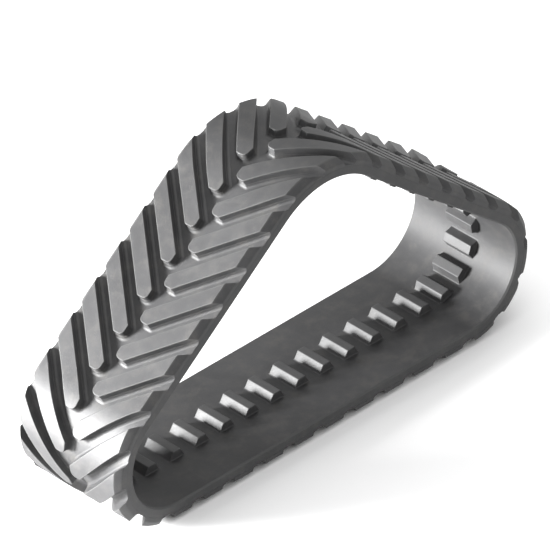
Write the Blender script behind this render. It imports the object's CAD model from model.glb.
"""Rubber track for a triangular undercarriage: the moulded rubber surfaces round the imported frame.

Places on the belt are (s, y, t), as in the CAD: s along the pattern line, y across, t outwards from
the wheel side. Every surface here is worked out on a grid of such places and carried on to the loop.
"""

import math

import bmesh
import bpy
import numpy as np
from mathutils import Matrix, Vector


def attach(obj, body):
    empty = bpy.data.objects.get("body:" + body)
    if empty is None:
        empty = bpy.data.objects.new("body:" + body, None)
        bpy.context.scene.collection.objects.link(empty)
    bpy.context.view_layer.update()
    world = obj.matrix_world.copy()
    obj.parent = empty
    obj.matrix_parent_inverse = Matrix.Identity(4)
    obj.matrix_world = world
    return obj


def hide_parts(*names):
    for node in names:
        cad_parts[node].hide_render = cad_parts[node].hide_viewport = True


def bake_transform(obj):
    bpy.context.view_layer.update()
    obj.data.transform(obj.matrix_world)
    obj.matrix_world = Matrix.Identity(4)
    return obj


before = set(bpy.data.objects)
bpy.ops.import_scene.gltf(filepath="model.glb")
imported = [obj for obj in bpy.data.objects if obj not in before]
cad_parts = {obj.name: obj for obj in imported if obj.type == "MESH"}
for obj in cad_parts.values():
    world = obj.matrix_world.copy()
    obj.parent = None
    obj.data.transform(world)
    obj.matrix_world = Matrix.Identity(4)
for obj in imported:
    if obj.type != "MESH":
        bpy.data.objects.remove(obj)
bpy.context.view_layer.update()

# ---------------------------------------------------------------- driving sizes, in metres
GROUND_L = 1.806
TOP_RISE = 0.567
LOWER_R = 0.268
TOP_R = 0.389

BELT_W = 0.628
BELT_T = 0.048
EDGE_C = 0.007
EDGE_Y = BELT_W / 2

LUG_COUNT = 40
LUG_PITCH = 0.1524
LUG_START = 0.0704
LUG_H = 0.039

BAR_COUNT = 33
BAR_START = 0.141
BAR_W = 0.072
BAR_H = 0.048
BAR_GAP = 0.015
BAR_TOP = BELT_T + BAR_H
END_CHAMFER_W = 0.027
END_CHAMFER_H = 0.028

FOOT_L = 0.020
JOINT_GAP = 0.002

# ---------------------------------------------------------------- the loop
HALF_L = GROUND_L / 2
AXIS_GAP = math.hypot(HALF_L, TOP_RISE)
INCLINE_A = math.atan2(TOP_RISE, HALF_L) + math.asin((TOP_R - LOWER_R) / AXIS_GAP)
INCLINE_L = math.sqrt(AXIS_GAP ** 2 - (TOP_R - LOWER_R) ** 2)
LOWER_TURN = math.pi - INCLINE_A
TOP_TURN = 2 * INCLINE_A
LOOP_L = LUG_COUNT * LUG_PITCH
INNER_L = GROUND_L + 2 * INCLINE_L + 2 * LOWER_TURN * LOWER_R + TOP_TURN * TOP_R
PATTERN_T = (LOOP_L - INNER_L) / math.tau
LOWER_ARC_L = LOWER_TURN * (LOWER_R + PATTERN_T)
TOP_ARC_L = TOP_TURN * (TOP_R + PATTERN_T)

# Ends of the six straight and curved stretches along s, and the belt's heading there
BREAKS = np.cumsum([0, GROUND_L, LOWER_ARC_L, INCLINE_L, TOP_ARC_L, INCLINE_L, LOWER_ARC_L])
FRONT_S, FRONT_UP_S, TOP_S, TOP_END_S, REAR_S = BREAKS[1:6]
HEADINGS = np.cumsum([0, 0, LOWER_TURN, 0, TOP_TURN, 0, LOWER_TURN])
FRONT_AXIS = np.array([HALF_L, BAR_TOP + LOWER_R])
REAR_AXIS = np.array([-HALF_L, BAR_TOP + LOWER_R])
TOP_AXIS = np.array([0, BAR_TOP + LOWER_R + TOP_RISE])
AXES = np.array([REAR_AXIS, FRONT_AXIS, FRONT_AXIS, TOP_AXIS, TOP_AXIS, REAR_AXIS])
RADII = np.array([LOWER_R, LOWER_R, LOWER_R, TOP_R, TOP_R, LOWER_R])
CURVED = np.array([False, True, False, True, False, True])


def along(h):
    """Unit vector in the belt's direction: (cos h, sin h) as (x, z)."""
    return np.stack([np.cos(h), np.sin(h)], -1)


def outwards(h):
    """Unit vector away from the wheels: the direction turned a quarter clockwise, (sin h, -cos h)."""
    return np.stack([np.sin(h), -np.cos(h)], -1)


def belt_point(s, y, t):
    """Point of the belt at (s, y, t): on a straight stretch, its start plus s along it; on a curved one,
    the wheel's axis plus the inner radius outwards. Then t outwards, with y across."""
    s, y, t = np.broadcast_arrays(np.mod(s, LOOP_L), y, t)
    part = np.clip(np.searchsorted(BREAKS, s, side="right") - 1, 0, len(CURVED) - 1)
    h = np.interp(s, BREAKS, HEADINGS)
    wheel = AXES[part] + RADII[part][..., None] * outwards(h)
    xz = wheel + np.where(CURVED[part], 0, s - BREAKS[part])[..., None] * along(h)
    xz = xz + t[..., None] * outwards(h)
    return np.stack([xz[..., 0], y, xz[..., 1]], -1)


def curved_at(s):
    """Inner radius of the stretch at s, or infinity where it is straight."""
    part = int(np.clip(np.searchsorted(BREAKS, s % LOOP_L, side="right") - 1, 0, len(CURVED) - 1))
    return RADII[part] if CURVED[part] else math.inf


# Stretches that keep their shape, as (body, start, end), and bend zones between them, as
# (name, start, end, body before, body after)
FOOT_END_S = TOP_S + LUG_PITCH + FOOT_L
STRETCHES = [
    ("ground_run", LUG_PITCH, FRONT_S),
    ("front_wrap", FRONT_S + LUG_PITCH, FRONT_UP_S),
    ("front_run", FRONT_UP_S + LUG_PITCH, TOP_S),
    ("top_foot", TOP_S + LUG_PITCH, FOOT_END_S),
    ("top_wrap", FOOT_END_S, TOP_END_S),
    ("rear_run", TOP_END_S + LUG_PITCH, REAR_S),
    ("rear_wrap", REAR_S + LUG_PITCH, LOOP_L),
]
BENDS = [
    ("rear_pickup", 0, LUG_PITCH, "rear_wrap", "ground_run"),
    ("front_laydown", FRONT_S, FRONT_S + LUG_PITCH, "ground_run", "front_wrap"),
    ("front_bend", FRONT_UP_S, FRONT_UP_S + LUG_PITCH, "front_wrap", "front_run"),
    ("top_release", TOP_S, TOP_S + LUG_PITCH, "front_run", "top_foot"),
    ("top_bend", TOP_END_S, TOP_END_S + LUG_PITCH, "top_wrap", "rear_run"),
    ("rear_release", REAR_S, REAR_S + LUG_PITCH, "rear_run", "rear_wrap"),
]


# ---------------------------------------------------------------- meshes
WELD_DIST = 2e-5
SLIVER_DIST = 1e-5


def grid_quads(rows, cols, closed=False):
    """Quads of a grid whose points are numbered row by row; closed joins the last column to the first."""
    r, c = np.meshgrid(np.arange(rows - 1), np.arange(cols if closed else cols - 1), indexing="ij")
    n = (c + 1) % cols
    return np.stack([r * cols + c, r * cols + n, (r + 1) * cols + n, (r + 1) * cols + c], -1).reshape(-1, 4)


def make_piece(name, shells, sharp_deg=40):
    """One mesh from shells of (points, faces, wear): points are welded, flat slivers go, and normals
    are turned outwards. wear, 0 to 1 for each point, is kept as an attribute for the materials."""
    points, faces, wear, first = [], [], [], 0
    for p, f, w in shells:
        points.append(p)
        wear.append(w)
        faces += [tuple(int(i) + first for i in face) for face in f]
        first += len(p)
    mesh = bpy.data.meshes.new(name)
    mesh.from_pydata(np.concatenate(points).tolist(), [], faces)
    mesh.attributes.new("wear", "FLOAT", "POINT").data.foreach_set("value", np.concatenate(wear))
    bm = bmesh.new()
    bm.from_mesh(mesh)
    bmesh.ops.remove_doubles(bm, verts=bm.verts, dist=WELD_DIST)
    bmesh.ops.dissolve_degenerate(bm, edges=bm.edges, dist=SLIVER_DIST)
    bmesh.ops.recalc_face_normals(bm, faces=bm.faces)
    bm.to_mesh(mesh)
    bm.free()
    mesh.shade_smooth()
    mesh.set_sharp_from_angle(angle=math.radians(sharp_deg))
    piece = bpy.data.objects.new(name, mesh)
    bpy.context.scene.collection.objects.link(piece)
    return piece


# ---------------------------------------------------------------- belt
def corner_arc(y, t, r, start_deg, steps=4):
    """Quarter-round corner of radius r about (y, t), from start_deg on, as rows of (y, t)."""
    a = np.radians(start_deg + 90 * np.arange(steps + 1) / steps)
    return np.stack([y + r * np.cos(a), t + r * np.sin(a)], -1)


def belt_section():
    """Cross-section (y, t) of the belt and its wear: a plain rectangle with a chamfer along both inner
    edges and a small round along both outer edges. Extra points beside each edge keep the flats flat."""
    outer_r = 0.004
    lane_margin, land_margin = 0.003, 0.008
    side_t = 0.022, 0.038
    lane = np.linspace(-EDGE_Y + EDGE_C + lane_margin, EDGE_Y - EDGE_C - lane_margin, 25)
    inner = np.stack([lane, np.zeros_like(lane)], -1)
    right_side = np.array([[EDGE_Y - EDGE_C, 0], [EDGE_Y, EDGE_C], [EDGE_Y, EDGE_C + 0.002],
                           [EDGE_Y, side_t[0]], [EDGE_Y, side_t[1]]])
    outer_corner = corner_arc(EDGE_Y - outer_r, BELT_T - outer_r, outer_r, 0)
    land = np.linspace(EDGE_Y - land_margin, -EDGE_Y + land_margin, 25)
    outer = np.stack([land, np.full_like(land, BELT_T)], -1)
    half = np.concatenate([right_side, outer_corner])
    other = half[::-1] * [-1, 1]
    section = np.concatenate([inner, half, outer, other])
    edge = np.isin(section[:, 1], (0.0, EDGE_C)) & (np.abs(section[:, 0]) >= EDGE_Y - EDGE_C - 1e-6)
    round_edge = (np.abs(section[:, 0]) > EDGE_Y - outer_r) & (section[:, 1] > BELT_T - outer_r)
    return section, np.where(edge | round_edge, 1.0, 0.0)


def belt_shell(s0, s1):
    """Belt from s0 to s1: the cross-section carried along the loop, closed at both ends by flat caps."""
    section, wear = belt_section()
    step = 0.010 if math.isfinite(curved_at((s0 + s1) / 2)) else 0.030
    s = np.linspace(s0, s1, max(3, int(round((s1 - s0) / step)) + 1))
    s[0] += 1e-7
    s[-1] -= 1e-7
    points = belt_point(s[:, None], section[None, :, 0], section[None, :, 1]).reshape(-1, 3)
    n = len(section)
    faces = grid_quads(len(s), n, closed=True).tolist()
    faces += [list(range(n)), list(range(len(points) - n, len(points)))]
    return points, faces, np.tile(wear, len(s))


# ---------------------------------------------------------------- drive lugs
def lug_shell(s):
    """One lug: rounded rectangles stacked from the root to the crown. Each level has its own half length,
    half width and corner radius; the root's fillet and the crown's edge are quarter rounds. The root
    follows the belt's curve, z = a^2 / 2R at the distance a from the middle, fading out to the crown."""
    root_a, root_y, crown_a, crown_y = 0.0440, 0.0800, 0.0210, 0.0795
    fillet, edge_r = 0.004, 0.0020
    root_sunk, crown_inset = 0.003, 0.007
    u = np.linspace(0, math.pi / 2, 5)
    low = np.stack([fillet * (1 - np.sin(u)), fillet * (1 - np.cos(u))], -1)
    wall = np.array([0.3, 0.6, 0.85])
    wall_z = fillet + (LUG_H - edge_r - fillet) * wall
    top = np.stack([-edge_r * (1 - np.cos(u)), LUG_H - edge_r + edge_r * np.sin(u)], -1)
    grow = np.concatenate([[low[0, 0]], low[:, 0], 0 * wall, top[:, 0], [-crown_inset]])
    z = np.concatenate([[-root_sunk], low[:, 1], wall_z, top[:, 1], [LUG_H]])
    rise = np.clip(z / LUG_H, 0, 1)
    half_a = root_a + (crown_a - root_a) * rise + grow
    half_y = root_y + (crown_y - root_y) * rise + grow
    corner = np.clip(0.004 + grow, 0.0018, None)
    quarter = np.linspace(0, math.pi / 2, 5)
    turn = np.concatenate([quarter + k * math.pi / 2 for k in range(4)])
    sign_a = np.repeat([1, -1, -1, 1], 5)
    sign_y = np.repeat([1, 1, -1, -1], 5)
    a = sign_a * (half_a - corner)[:, None] + corner[:, None] * np.cos(turn)
    y = sign_y * (half_y - corner)[:, None] + corner[:, None] * np.sin(turn)
    lift = a ** 2 / (2 * curved_at(s)) * (1 - rise[:, None])
    h = float(np.interp(s % LOOP_L, BREAKS, HEADINGS))
    middle = belt_point(s, 0.0, 0.0)
    tangent = np.array([math.cos(h), 0, math.sin(h)])
    inward = np.array([-math.sin(h), 0, math.cos(h)])
    height = z[:, None] + lift
    points = middle + a[..., None] * tangent + y[..., None] * [0, 1, 0] + height[..., None] * inward
    levels, n = a.shape
    faces = grid_quads(levels, n, closed=True).tolist()
    faces += [list(range(n)), list(range((levels - 1) * n, levels * n))]
    wear = np.clip((z - (LUG_H - 0.006)) / 0.004, 0, 1) * np.where(z >= LUG_H, 0.55, 1.0)
    return points.reshape(-1, 3), faces, np.repeat(wear, n)


def lug_places(s0, s1):
    """Places along s of the lugs whose middles lie between s0 and s1."""
    s = LUG_START + LUG_PITCH * np.arange(LUG_COUNT)
    return s[(s > s0) & (s < s1)]


# ---------------------------------------------------------------- tread bars
NOSE_L = BAR_W / math.sqrt(2)
NOSE_R = 0.024
SHOULDER_R = 0.006
DRAFT = 0.0035
FOOT_R = 0.015
FACE_R = 0.0028


def bar_side(lower):
    """One side of a bar's outline, from the middle of its nose to its end at the belt's edge, as places
    (s, q) on the face's outline and their directions of growth. The nose and shoulder are arcs, which
    grow along their radius; the long side is a straight line, which grows along s by root two."""
    e = np.array([-1.0, 0.0])
    f = np.array([0.0, 1.0])
    nose = np.array([0.0, BAR_GAP])
    centre = nose + NOSE_R * (e + f)
    swap = -1 if lower else 1
    # angles are measured from +s towards +q; the nose's middle looks along (1, -1)
    nose_turn = np.radians(-45 + swap * np.linspace(0, 45, 5))
    reach = SHOULDER_R * math.tan(math.radians(22.5))
    if lower:
        shoulder = nose + e * (NOSE_L - reach) + f * SHOULDER_R
        shoulder_turn = np.radians(np.linspace(-90, -135, 5))
        first = nose + e * NOSE_L + reach * np.array([-1, 1]) / math.sqrt(2)
    else:
        shoulder = nose + f * (NOSE_L - reach) + e * SHOULDER_R
        shoulder_turn = np.radians(np.linspace(0, 45, 5))
        first = nose + f * NOSE_L + reach * np.array([-1, 1]) / math.sqrt(2)
    arc = lambda c, r, a: c + r * np.stack([np.cos(a), np.sin(a)], -1)
    nose_p, nose_d = arc(centre, NOSE_R, nose_turn), np.stack([np.cos(nose_turn), np.sin(nose_turn)], -1)
    sh_p = arc(shoulder, SHOULDER_R, shoulder_turn)
    sh_d = np.stack([np.cos(shoulder_turn), np.sin(shoulder_turn)], -1)
    mid = (nose_p[-1] + sh_p[0]) / 2
    shoulder_lead, chamfer_lead = 0.016, 0.004
    full_q = EDGE_Y - END_CHAMFER_W - chamfer_lead
    q = np.append(np.linspace(first[1] + shoulder_lead, full_q, 24), EDGE_Y)
    line = np.stack([first[0] + first[1] - q, q], -1)
    way = np.tile([-math.sqrt(2) if lower else math.sqrt(2), 0.0], (len(q), 1))
    places = np.concatenate([nose_p, [mid], sh_p, line])
    grows = np.concatenate([nose_d, [nose_d[-1]], sh_d, way])
    return places, grows


def bar_profile():
    """Levels of a bar's wall as (growth, t): a foot fillet, the drafted wall, and a rounded edge at the
    face. Growth is how far the outline stands outside the face's own outline."""
    u = np.linspace(0, math.pi / 2, 6)
    foot = np.stack([DRAFT + FOOT_R * (1 - np.sin(u)), BELT_T + FOOT_R * (1 - np.cos(u))], -1)
    wall_t = np.array([0.064, 0.067, 0.070, 0.077, 0.084, 0.089])
    wall = np.stack([DRAFT * (BAR_TOP - wall_t) / BAR_H, wall_t], -1)
    top = np.stack([-FACE_R * (1 - np.cos(u)), BAR_TOP - FACE_R + FACE_R * np.sin(u)], -1)
    sunk_depth = 0.0015
    sunk = np.array([[foot[0, 0], BELT_T - sunk_depth]])
    return np.concatenate([sunk, foot, wall, top])


def end_q(t):
    """Distance from the centre line of a bar's outer end at depth t: the belt's edge, then the chamfer,
    with a soft start where the two meet."""
    x = (t - (BAR_TOP - END_CHAMFER_H)) / END_CHAMFER_H
    soft = 0.10
    ramp = (x + np.sqrt(x ** 2 + soft ** 2)) / 2
    return EDGE_Y - END_CHAMFER_W * (ramp - ramp.min())


def bar_shell(tip, row):
    """One bar: at each step along its two sides a closed ring runs up the lower side, over the face, down
    the upper side and back under the foot. Rings start at the nose as a line and end at the belt's edge,
    where a flat cap closes them. Past the end chamfer a place slides back along the bar's 45 degrees."""
    low_p, low_d = bar_side(True)
    up_p, up_d = bar_side(False)
    profile = bar_profile()
    grow, t = profile[:, 0], profile[:, 1]
    across = np.array([0.03, 0.18, 0.36, 0.5, 0.64, 0.82, 0.97])

    def wall(p, d):
        """One side of the bar at every level: grown outwards, then held back at the outer end."""
        sq = p[:, None, :] + grow[None, :, None] * d[:, None, :]
        back = np.clip(sq[..., 1] - end_q(t)[None, :], 0, None)
        return np.stack([sq[..., 0] + back, sq[..., 1] - back, np.broadcast_to(t, back.shape)], -1)

    low, up = wall(low_p, low_d), wall(up_p, up_d)
    bridge = lambda a, b: a[:, None, :] + across[None, :, None] * (b - a)[:, None, :]
    face = bridge(low[:, -1], up[:, -1])
    base = bridge(up[:, 0], low[:, 0])
    rings = np.concatenate([low, face, up[:, ::-1], base], 1)
    steps, n = rings.shape[:2]
    levels = len(t)
    cap = low[-1][:, None] + np.concatenate([[0], across, [1]])[None, :, None] * (up[-1] - low[-1])[:, None]
    places = np.concatenate([rings.reshape(-1, 3), cap.reshape(-1, 3)])
    points = belt_point(tip + places[:, 0], row * places[:, 1], places[:, 2])
    faces = np.concatenate([grid_quads(steps, n, closed=True),
                            steps * n + grid_quads(levels, len(across) + 2)])
    edge = np.clip((profile[:, 1] - (BAR_TOP - 0.007)) / 0.004, 0, 1)
    face_wear = 0.35 + 0.25 * np.abs(across - 0.5)
    ring_wear = np.concatenate([edge, face_wear, edge[::-1], 0 * across])
    cap_wear = np.repeat(edge, len(across) + 2)
    return points, faces.tolist(), np.concatenate([np.tile(ring_wear, steps), cap_wear])


BAR_PITCH = LOOP_L / BAR_COUNT
# How far a CAD bar reaches along s from its tip, forwards and back, with its foot
BAR_FOOT = 0.006
BAR_AHEAD = BAR_FOOT * math.sqrt(2)
BAR_BACK = EDGE_Y - BAR_GAP + NOSE_L + BAR_AHEAD


def bar_tips(row):
    """Tips of a row's bars. The left row, on +Y, is half a pitch on from the right row."""
    return BAR_START + BAR_PITCH * (np.arange(BAR_COUNT) + (0.5 if row > 0 else 0))


def meets(tip, s0, s1):
    """Whether the bar with this tip reaches into s0 to s1, on this turn of the loop or the next."""
    return any(tip + BAR_AHEAD > s0 + k and tip - BAR_BACK < s1 + k for k in (0, LOOP_L))


def bend_end(bend):
    """Last place that belongs to a bend zone; top_release also takes in the foot and the open gap."""
    return FOOT_END_S + JOINT_GAP if bend[0] == "top_release" else bend[2]


def bars_of_bend(bend, row):
    """Tips of the bars that reach into a bend zone."""
    return [tip for tip in bar_tips(row) if meets(tip, bend[1], bend_end(bend))]


def bars_of_stretch(stretch, row):
    """Tips of the bars that lie wholly on a stretch and reach into no bend zone."""
    free = [tip for tip in bar_tips(row) if not any(meets(tip, b[1], bend_end(b)) for b in BENDS)]
    return [tip for tip in free if tip - BAR_BACK >= stretch[1] and tip + BAR_AHEAD <= stretch[2]]


# ---------------------------------------------------------------- materials
class Socket:
    """A node's output on which arithmetic adds Math nodes."""

    def __init__(self, build, link):
        self.build, self.link = build, link

    def _math(self, operation, *values):
        return self.build.node("ShaderNodeMath", {"operation": operation}, *values)

    def __add__(self, other):
        return self._math("ADD", self, other)

    def __radd__(self, other):
        return self._math("ADD", other, self)

    def __sub__(self, other):
        return self._math("SUBTRACT", self, other)

    def __rsub__(self, other):
        return self._math("SUBTRACT", other, self)

    def __mul__(self, other):
        return self._math("MULTIPLY", self, other)

    def __rmul__(self, other):
        return self._math("MULTIPLY", other, self)

    def __pow__(self, other):
        return self._math("POWER", self, other)


class Build:
    """Adds nodes to a material: node(type, settings, socket values) returns the first output."""

    def __init__(self, name):
        self.material = bpy.data.materials.new(name)
        self.material.use_nodes = True
        self.tree = self.material.node_tree
        self.tree.nodes.clear()

    def raw(self, kind, settings=None, *values, **named):
        """Adds a node, with sockets set or linked by place or by name, and returns the node itself."""
        node = self.tree.nodes.new(kind)
        for key, value in (settings or {}).items():
            setattr(node, key, value)
        for key, value in [*enumerate(values), *named.items()]:
            socket = node.inputs[key if isinstance(key, int) else key.replace("_", " ")]
            if isinstance(value, Socket):
                self.tree.links.new(value.link, socket)
            else:
                socket.default_value = value
        return node

    def node(self, kind, settings=None, *values, **named):
        """Adds a node in the same way and returns its first output."""
        return Socket(self, self.raw(kind, settings, *values, **named).outputs[0])

    def noise(self, where, scale, detail=4.0, roughness=0.55):
        """Fractal noise, about 0 to 1; a larger scale gives smaller spots."""
        return self.node("ShaderNodeTexNoise", None, Vector=where, Scale=scale, Detail=detail,
                         Roughness=roughness)

    def step(self, value, low, high):
        """0 below low, 1 above high, smooth between them."""
        return self.node("ShaderNodeMapRange", {"interpolation_type": "SMOOTHSTEP"}, value, low, high)

    def mix(self, factor, a, b):
        """Colour a where the factor is 0 and b where it is 1; each is a colour or an output."""
        node = self.raw("ShaderNodeMix", {"data_type": "RGBA"}, factor)
        for socket, value in ((node.inputs[6], a), (node.inputs[7], b)):
            if isinstance(value, Socket):
                self.tree.links.new(value.link, socket)
            else:
                socket.default_value = (*value, 1.0)
        return Socket(self, node.outputs[2])


SPECULAR = 0.40


def rubber(name, base, worn, dust, roughness, grain=1.0, dust_amount=0.5):
    """Moulded rubber: a dark base that varies slowly in tone, paler where edges are scuffed, dust that
    settles in the hollows of a slow noise, and a bump of fine grain over faint moulding marks."""
    b = Build(name)
    where = Socket(b, b.raw("ShaderNodeTexCoord").outputs["Object"])
    wear = Socket(b, b.raw("ShaderNodeAttribute", {"attribute_name": "wear"}).outputs["Fac"])
    slow = b.noise(where, 3.5, 3.0)
    patch = b.noise(where, 16.0, 5.0, 0.6)
    grit = b.noise(where, 140.0, 4.0, 0.65)
    fine = b.noise(where, 620.0, 2.0)
    tone = b.step(slow * 0.6 + patch * 0.4, 0.36, 0.66)
    colour = b.mix(tone, [c * 0.86 for c in base], [c * 1.16 for c in base])
    dusty = b.step(patch * 0.65 + grit * 0.35, 0.47, 0.68) * dust_amount * (1 - 0.6 * wear)
    colour = b.mix(dusty, colour, dust)
    scuffed = b.step(wear * (0.55 + 0.75 * grit), 0.28, 0.95) * 0.62
    colour = b.mix(scuffed, colour, worn)
    marks = b.node("ShaderNodeTexVoronoi", {"feature": "F1"}, Vector=where, Scale=95.0)
    height = grit * 0.5 + fine * 0.3 + marks * 0.25 + patch * 0.8
    bump = b.node("ShaderNodeBump", None, Strength=0.32 * grain, Distance=0.0016, Height=height)
    rough = roughness + 0.16 * dusty + 0.10 * scuffed + (grit - 0.5) * 0.16
    shader = b.raw("ShaderNodeBsdfPrincipled", None, Base_Color=colour, Roughness=rough, Normal=bump)
    shader.inputs["Specular IOR Level"].default_value = SPECULAR
    out = b.raw("ShaderNodeOutputMaterial")
    b.tree.links.new(shader.outputs[0], out.inputs[0])
    return b.material


def plies(name, colour_a, colour_b, spacing, metallic):
    """A cut ply: round cords side by side across the belt, as a wave in y, in the rubber between them."""
    b = Build(name)
    where = Socket(b, b.raw("ShaderNodeTexCoord").outputs["Object"])
    y = Socket(b, b.raw("ShaderNodeSeparateXYZ", None, where).outputs[1])
    cord = b.node("ShaderNodeMath", {"operation": "SINE"}, y * (math.tau / spacing)) * 0.5 + 0.5
    shade = b.step(cord + b.noise(where, 60.0) * 0.3, 0.25, 0.9)
    colour = b.mix(shade, colour_a, colour_b)
    bump = b.node("ShaderNodeBump", None, Strength=0.6, Distance=0.002, Height=cord)
    shader = b.raw("ShaderNodeBsdfPrincipled", None, Base_Color=colour, Roughness=0.5 - 0.15 * shade,
                   Metallic=metallic * shade, Normal=bump)
    out = b.raw("ShaderNodeOutputMaterial")
    b.tree.links.new(shader.outputs[0], out.inputs[0])
    return b.material


BELT = rubber("belt_rubber", (0.033, 0.033, 0.034), (0.062, 0.062, 0.062), (0.068, 0.064, 0.058), 0.56,
              grain=0.8, dust_amount=0.45)
TREAD = rubber("tread_rubber", (0.035, 0.035, 0.036), (0.068, 0.068, 0.067), (0.070, 0.066, 0.060), 0.53,
               grain=1.0, dust_amount=0.50)
LUG = rubber("lug_rubber", (0.038, 0.038, 0.039), (0.068, 0.068, 0.068), (0.068, 0.064, 0.058), 0.50,
             grain=0.7, dust_amount=0.35)
CABLES = plies("cable_ply", (0.02, 0.02, 0.02), (0.55, 0.50, 0.38), 0.0057, 1.0)
BIAS = plies("bias_plies", (0.02, 0.02, 0.02), (0.28, 0.24, 0.17), 0.003, 0.0)


# ---------------------------------------------------------------- assembly
def finish_piece(piece, material, slot, *nodes):
    """Gives a piece its material and slot, and names the CAD nodes that it replaces."""
    piece.data.materials.append(material)
    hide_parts(*nodes)


def bend_over(piece, bend):
    """The piece bends between the zone's two bodies, from the zone's start to its end on the belt."""
    s0, s1, before, after = bend[1:]
    start, end = belt_point(np.array([s0, s1]), 0.0, BELT_T / 2)
    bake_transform(piece)


for stretch in STRETCHES:
    body, s0, s1 = stretch
    belt = make_piece(body + ".belt", [belt_shell(s0, s1)])
    finish_piece(belt, BELT, "belt_rubber", body + "_inner_cover", body + "_outer_cover")
    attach(belt, body)
    if body == "top_foot":
        continue
    lugs = make_piece(body + ".lugs", [lug_shell(s) for s in lug_places(s0, s1)])
    finish_piece(lugs, LUG, "lug_rubber", body + "_drive_lugs")
    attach(lugs, body)
    for row, side in ((-1, "right"), (1, "left")):
        shells = [bar_shell(tip, row) for tip in bars_of_stretch(stretch, row)]
        if not shells:
            continue
        bars = make_piece(f"{body}.{side}_bars", shells)
        node = f"{body}_{side}_bars"
        finish_piece(bars, TREAD, "tread_rubber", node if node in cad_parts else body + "_bars")
        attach(bars, body)

for bend in BENDS:
    name, s0, s1 = bend[:3]
    belt = make_piece(name + ".belt", [belt_shell(s0, s1)])
    finish_piece(belt, BELT, "belt_rubber", name + "_belt")
    lugs = make_piece(name + ".lugs", [lug_shell(s) for s in lug_places(s0, s1)])
    finish_piece(lugs, LUG, "lug_rubber", name + "_belt")
    shells = [bar_shell(tip, row) for row in (-1, 1) for tip in bars_of_bend(bend, row)]
    bars = make_piece(name + ".bars", shells)
    finish_piece(bars, TREAD, "tread_rubber", name + "_bars")
    for piece in (belt, lugs, bars):
        bend_over(piece, bend)

for name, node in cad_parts.items():
    for ply, material in (("cable_ply", CABLES), ("bias_plies", BIAS)):
        if name.endswith(ply):
            node.data.materials.clear()
            node.data.materials.append(material)


# ---------------------------------------------------------------- floor, light and camera
def plain(name, colour, roughness):
    """One even colour and roughness, for the floor."""
    b = Build(name)
    shader = b.raw("ShaderNodeBsdfPrincipled", None, Base_Color=(*colour, 1.0), Roughness=roughness)
    out = b.raw("ShaderNodeOutputMaterial")
    b.tree.links.new(shader.outputs[0], out.inputs[0])
    return b.material


FLOOR_SIZE = 800.0
FLOOR_DROP = 0.0005
bpy.ops.mesh.primitive_plane_add(size=FLOOR_SIZE, location=(0, 0, -FLOOR_DROP))
floor = bpy.context.object
floor.name = "floor"
floor.data.materials.append(plain("floor", (0.9, 0.9, 0.9), 0.9))


def area_light(name, direction, distance, size, power, target=(0, 0, 0.7)):
    """Square area light that looks at the target from a direction, given as a vector towards the light."""
    light = bpy.data.lights.new(name, "AREA")
    light.shape = "SQUARE"
    light.size = size
    light.energy = power
    lamp = bpy.data.objects.new(name, light)
    way = Vector(direction).normalized()
    lamp.location = Vector(target) + way * distance
    lamp.rotation_euler = way.to_track_quat("Z", "Y").to_euler()
    bpy.context.scene.collection.objects.link(lamp)


area_light("key", (-0.89, 0.45, 0.05), 6.0, 1.6, 2200.0)
area_light("overhead", (0.1, 0.1, 1.0), 5.0, 6.0, 180.0)
WORLD_STRENGTH = 0.9
world = bpy.data.worlds.new("studio")
world.use_nodes = True
world.node_tree.nodes["Background"].inputs["Color"].default_value = (1, 1, 1, 1)
world.node_tree.nodes["Background"].inputs["Strength"].default_value = WORLD_STRENGTH
bpy.context.scene.world = world
bpy.context.scene.view_settings.view_transform = "Standard"

AZIMUTH, ELEVATION = math.radians(-45), math.radians(35.264)
LENS, SENSOR = 1000.0, 36.0
VIEW_W = 2.374
CLIP_END = 500.0
LOOK_AT = Vector((-0.002, 0.002, 0.681))
towards = Vector((math.sin(AZIMUTH) * math.cos(ELEVATION), -math.cos(AZIMUTH) * math.cos(ELEVATION),
                  math.sin(ELEVATION)))
camera_data = bpy.data.cameras.new("camera")
camera_data.lens, camera_data.sensor_width = LENS, SENSOR
camera_data.clip_end = CLIP_END
camera = bpy.data.objects.new("camera", camera_data)
camera.location = LOOK_AT + towards * VIEW_W * LENS / SENSOR
camera.rotation_euler = towards.to_track_quat("Z", "Y").to_euler()
bpy.context.scene.collection.objects.link(camera)
bpy.context.scene.camera = camera
